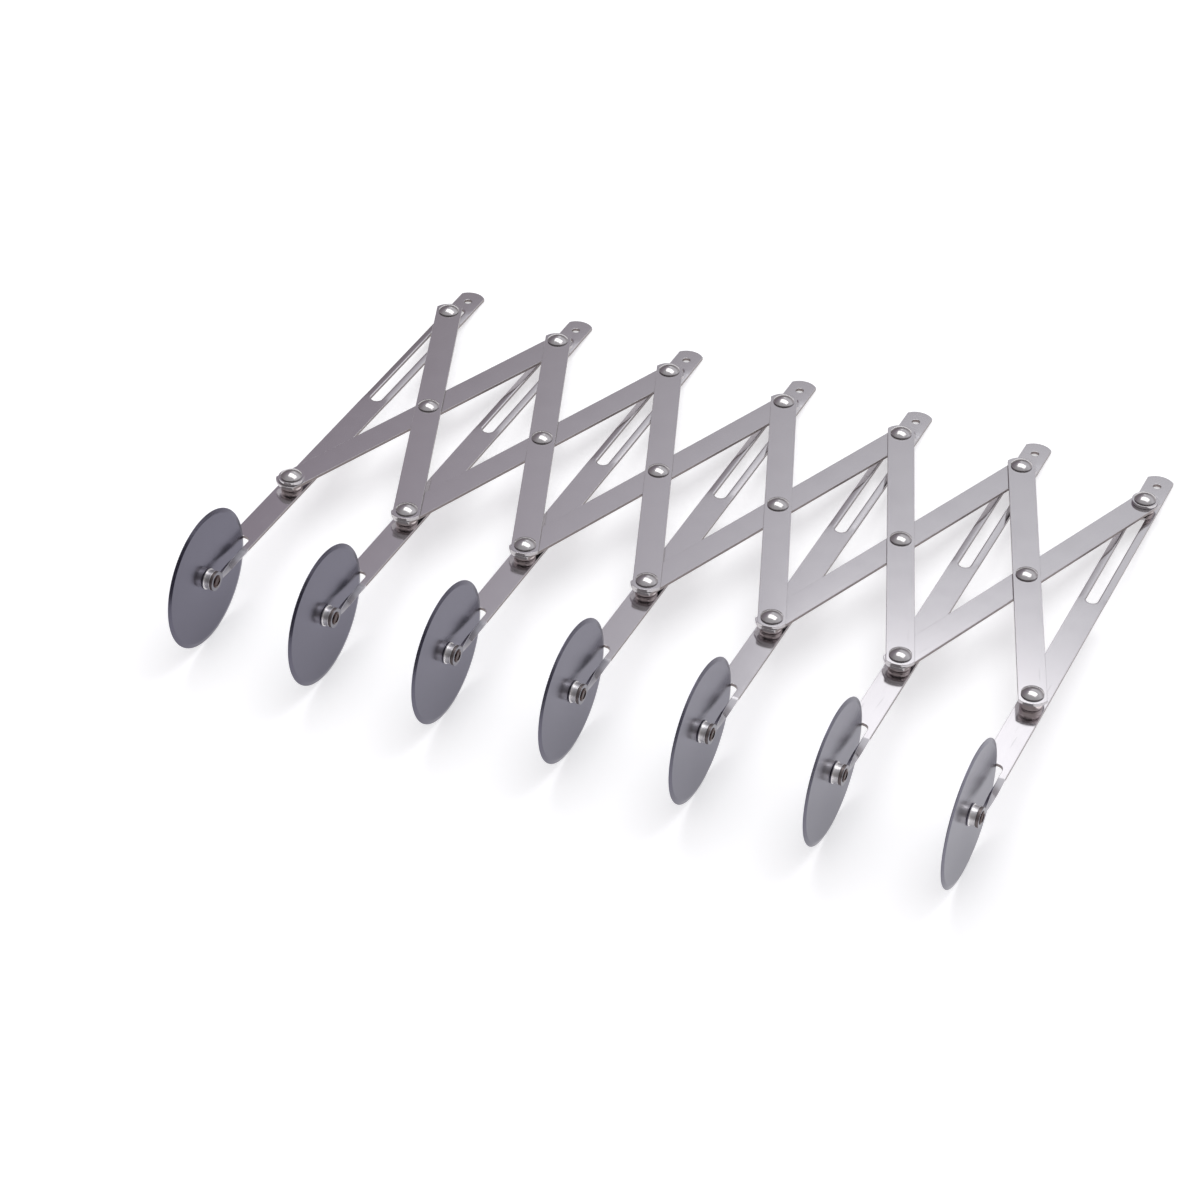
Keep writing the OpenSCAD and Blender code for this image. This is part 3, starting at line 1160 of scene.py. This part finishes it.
@dataclass
class CutterWheel:
    """A cutting disc with its collared hub, running on a bar's axle pin."""

    number: int
    sizes: CutterSizes
    bevel_w: float = 1.6
    edge_t: float = 0.2
    shoulder_round: float = 0.5
    blade_round: float = 0.05
    hub_d: float = 7.0
    hub_round: float = 0.15
    collar_d: float = 7.8
    collar_l: float = 0.6
    waist_d: float = 5.4

    def build(self) -> list[Piece]:
        """Builds and dresses the disc and the hub.

        Returns:
            The pieces.
        """
        size, body = self.sizes, f"wheel_{self.number}"
        place = size.at(size.bar_x(self.number), size.axle_y, size.axle_z)
        axis = place @ Matrix.Rotation(QUARTER_TURN, 4, "Y")
        disc = BLADE.mesh(f"{body}_disc", axis, DISC, {
            "Bore radius": self.waist_d / 2 + size.pin_fit, "Thickness": size.disc_t,
            "Rim radius": size.disc_d / 2, "Bevel width": self.bevel_w, "Edge thickness": self.edge_t,
            "Shoulder round": self.shoulder_round, "Edge round": self.blade_round,
        })
        hub = HUB.mesh(f"{body}_hub", axis, TURNED, {
            "Bore radius": size.axle_r, "Length": size.hub_l, "Hub radius": self.hub_d / 2,
            "Thickness": size.disc_t, "Collar length": self.collar_l, "Collar radius": self.collar_d / 2,
            "Waist radius": self.waist_d / 2, "Edge round": self.hub_round,
        })
        return [
            seat(disc, body, f"cutter_disc_{self.number}", DISC),
            seat(hub, body, f"disc_hub_{self.number}", TURNED),
        ]


@dataclass
class LatticeLink:
    """A link of the lazy tongs with the rivets that ride on it."""

    number: int
    layer: Layer
    sizes: CutterSizes
    stack: RivetStack
    hole_steps: int = 32
    side_steps: int = 24
    # painted light: the rounded end walls keep only this share of the darker torn-metal colour, so they read
    # lighter where the light falls on them
    end_painted_light: float = 0.2

    @property
    def body(self) -> str:
        """The CAD body that the link is."""
        return f"{self.layer.value}_{self.number}"

    def build(self) -> list[Piece]:
        """Builds and dresses the link and its rivets.

        Returns:
            The pieces.
        """
        size, n, last = self.sizes, self.number, self.sizes.discs
        made = [seat(self.strip(), self.body, f"{self.layer.value}_link_{n}", STRIP)]
        if self.layer is Layer.UPPER:
            return made + self.rear_rivet(n)
        place = size.at(size.bar_x(n) + size.pitch / 2, size.row_gap / 2)
        rivet = self.stack.rivet(f"{self.body}_middle_rivet", place, size.lower_z)
        made.append(seat(rivet, self.body, f"middle_rivet_{n}", DOMED))
        return made + (self.rear_rivet(last) if n == last - 1 else [])

    def rear_rivet(self, bar: int) -> list[Piece]:
        """Builds the rivet that slides in a bar's slot, with what is strung on it.

        Args:
            bar: Number of the bar.

        Returns:
            The pieces.
        """
        size, last = self.sizes, self.sizes.discs
        place, gap = size.at(size.bar_x(bar), size.row_gap), size.layer_gap
        return self.stack.build(self.body, "rear", bar, place, gap, upper=bar < last, lower=bar > 1)

    def strip(self) -> Mesh:
        """Makes the flat link with its three holes.

        Returns:
            The link's mesh.
        """
        size = self.sizes
        draft = MeshDraft()
        # painted light: less torn-metal colour on the rounded ends than on the sides, so the end walls read
        # lighter
        torn_shares = ([1.0] * self.side_steps + [self.end_painted_light] * self.hole_steps) * 2
        walls = [draft.wall(self.outline, SHEARED, size.strip_t, hole=False, torn_shares=torn_shares)]
        for y in (0.0, size.link_l / 2, size.link_l):
            walls.append(draft.wall(
                lambda out: circle(y, size.pivot_r + out, self.hole_steps), SHEARED, size.strip_t))
        for k in (0, -1):
            draft.fill([rows[k] for rows in walls], from_above)
        if self.layer is Layer.UPPER:
            pivot, height, spread = self.number + 1, size.upper_z, size.spread
        else:
            pivot, height, spread = self.number, size.lower_z, -size.spread
        place = size.at(size.bar_x(pivot), 0, height + size.strip_t)
        return draft.mesh(f"{self.body}_link", place @ Matrix.Rotation(spread, 4, "Z"))

    def outline(self, inset: float) -> list[Flat]:
        """Outline of a link along Y from its front pivot, drawn a distance inside the true one."""
        size, low = self.sizes, self.sizes.end_r - self.sizes.link_over
        width, radius = size.half_w - inset, size.end_r - inset
        return round_ended(width, radius, low, size.link_l - low, self.side_steps, self.hole_steps)


def outward(azimuth: float, elevation: float) -> Vector:
    """A direction away from the cutter, its azimuth counted from straight behind towards the right."""
    cos = math.cos(elevation)
    return Vector((math.sin(azimuth) * cos, math.cos(azimuth) * cos, math.sin(elevation)))


@dataclass(frozen=True)
class SoftLamp:
    """A soft rectangular lamp that faces the cutter from a given direction."""

    name: str
    azimuth: float
    elevation: float
    distance: float
    spread: Flat
    radiance: float

    def build(self) -> None:
        """Hangs the lamp, sized by the angles that it spans as seen from the cutter."""
        width, height = (2 * self.distance * math.tan(angle / 2) for angle in self.spread)
        lamp = bpy.data.lights.new(self.name, "AREA")
        lamp.shape = "RECTANGLE"
        lamp.size, lamp.size_y = width, height
        lamp.energy = self.radiance * math.pi * width * height
        box = bpy.data.objects.new(self.name, lamp)
        bpy.context.scene.collection.objects.link(box)
        away = outward(self.azimuth, self.elevation)
        box.location = away * self.distance
        box.rotation_euler = away.to_track_quat("Z", "Y").to_euler()
        box.visible_camera = False


OVERHEAD = SoftLamp("overhead_softbox", math.radians(2.0), math.radians(72.0), 3.0,
                    (math.radians(50.0), math.radians(28.0)), 2.6)
BEHIND = SoftLamp("strip_light_behind", math.radians(-12.1), math.radians(35.2), 2.4,
                  (math.radians(8.0), math.radians(6.0)), 0.95)


@dataclass
class Studio:
    """Pale floor, soft light and the camera."""

    camera_at: Spot = (360.644, -784.99, 808.187)
    azimuth: float = math.radians(26.7061)
    elevation: float = math.radians(43.4759)
    roll: float = math.radians(-2.506)
    focal_px: float = 3233.97
    frame_px: float = 1200.0
    sensor_w: float = 36.0
    clip: Flat = (0.05, 50.0)
    floor_half: float = 6.0
    floor_colour: Spot = (0.82, 0.82, 0.83)
    floor_glow: float = 0.44
    lamps: tuple[SoftLamp, ...] = (OVERHEAD, BEHIND)
    left_grey: Spot = (0.335, 0.29, 0.345)
    right_grey: Spot = (0.915, 0.925, 0.965)
    low_grey: Spot = (0.28, 0.26, 0.27)
    side_grey: Spot = (0.60, 0.58, 0.60)
    front_grey: Spot = (0.34, 0.325, 0.325)
    top_grey: Spot = (0.60, 0.60, 0.62)
    left_to_right: Flat = (-0.484, -0.188)
    low_to_side: Flat = (-0.1, 0.4)
    low_to_back: Flat = (0.29, 0.54)
    front_to_back: Flat = (-0.5, 0.5)
    sides_to_top: Flat = (0.5, 1.0)

    def build(self) -> None:
        """Sets up the floor, the lamps, the world and the camera."""
        scene = bpy.context.scene
        scene.view_settings.view_transform = "Standard"
        self.floor()
        for lamp in self.lamps:
            lamp.build()
        self.surround()
        scene.camera = self.camera()

    def floor(self) -> None:
        """Lays the floor, which looks white to the camera and in the steel, and keeps the shadows."""
        half = self.floor_half
        mesh = bpy.data.meshes.new("floor")
        corners = [(-half, -half, 0), (half, -half, 0), (half, half, 0), (-half, half, 0)]
        mesh.from_pydata(corners, [], [(0, 1, 2, 3)])
        floor = bpy.data.objects.new("floor", mesh)
        bpy.context.scene.collection.objects.link(floor)
        made = bpy.data.materials.new("pale_floor")
        made.use_nodes = True
        made.node_tree.nodes.clear()
        wires = NodeWires(made.node_tree)
        path = wires.node("ShaderNodeLightPath").outputs
        seen = wires.math("MAXIMUM", path["Is Camera Ray"], path["Is Glossy Ray"])
        seen = wires.math("MAXIMUM", seen, path["Is Transmission Ray"])
        matt = wires.node("ShaderNodeBsdfDiffuse", {"Color": (*self.floor_colour, 1.0)})
        glow = wires.node("ShaderNodeEmission", {"Strength": wires.math("MULTIPLY", seen, self.floor_glow)})
        both = wires.node("ShaderNodeAddShader", {0: matt.outputs[0], 1: glow.outputs[0]})
        wires.node("ShaderNodeOutputMaterial", {"Surface": both.outputs[0]})
        mesh.materials.append(made)

    def surround(self) -> None:
        """Makes the grey room that the steel reflects."""
        world = bpy.data.worlds.new("studio")
        bpy.context.scene.world = world
        world.use_nodes = True
        world.node_tree.nodes.clear()
        wires = NodeWires(world.node_tree)
        toward = wires.node("ShaderNodeTexCoord").outputs["Generated"]
        x, y, z = wires.node("ShaderNodeSeparateXYZ", {0: toward}).outputs
        back = self._blend(wires, x, self.left_to_right, self.left_grey, self.right_grey)
        low = self._blend(wires, x, self.low_to_side, self.low_grey, self.side_grey)
        back = self._blend(wires, z, self.low_to_back, low, back)
        sides = self._blend(wires, y, self.front_to_back, self.front_grey, back)
        room = self._blend(wires, z, self.sides_to_top, sides, self.top_grey)
        ground = wires.node("ShaderNodeBackground", {"Color": room})
        wires.node("ShaderNodeOutputWorld", {"Surface": ground.outputs[0]})

    @staticmethod
    def _blend(wires: NodeWires, along: Socket, span: Flat, low: object, high: object) -> Socket:
        """Blends softly from one colour, or output, to another over a span of a coordinate."""
        share = wires.node("ShaderNodeMapRange", {
            "Value": along, "From Min": span[0], "From Max": span[1],
        }, interpolation_type="SMOOTHSTEP")
        return wires.mix(share.outputs[0], low, high)

    def camera(self) -> Piece:
        """Sets up the camera where the photograph was taken from.

        Returns:
            The camera object.
        """
        lens = bpy.data.cameras.new("camera")
        lens.sensor_fit = "HORIZONTAL"
        lens.sensor_width = self.sensor_w
        lens.lens = self.focal_px / self.frame_px * self.sensor_w
        lens.clip_start, lens.clip_end = self.clip
        made = bpy.data.objects.new("camera", lens)
        bpy.context.scene.collection.objects.link(made)
        back = outward(math.pi - self.azimuth, self.elevation)
        level = Vector((math.cos(self.azimuth), math.sin(self.azimuth), 0))
        right = level * math.cos(self.roll) + back.cross(level) * math.sin(self.roll)
        turn = Matrix((right, back.cross(right), back)).transposed().to_4x4()
        made.matrix_world = Matrix.Translation(Vector(self.camera_at) * MM) @ turn
        return made


def main() -> None:
    """Builds every sub-assembly in order and reports its pieces."""
    logging.basicConfig(level=logging.INFO, format="%(name)s: %(message)s")
    sizes = CutterSizes()
    stack = RivetStack(sizes)
    pieces: list[Piece] = []
    for number in range(1, sizes.discs + 1):
        pieces += WheelBar(number, sizes, stack).build()
        pieces += CutterWheel(number, sizes).build()
    for number in range(1, sizes.discs):
        pieces += LatticeLink(number, Layer.UPPER, sizes, stack).build()
        pieces += LatticeLink(number, Layer.LOWER, sizes, stack).build()
    LOG.info("%d pieces, %d faces", len(pieces), sum(len(p.data.polygons) for p in pieces))
    Studio().build()


if __name__ == "__main__":
    main()
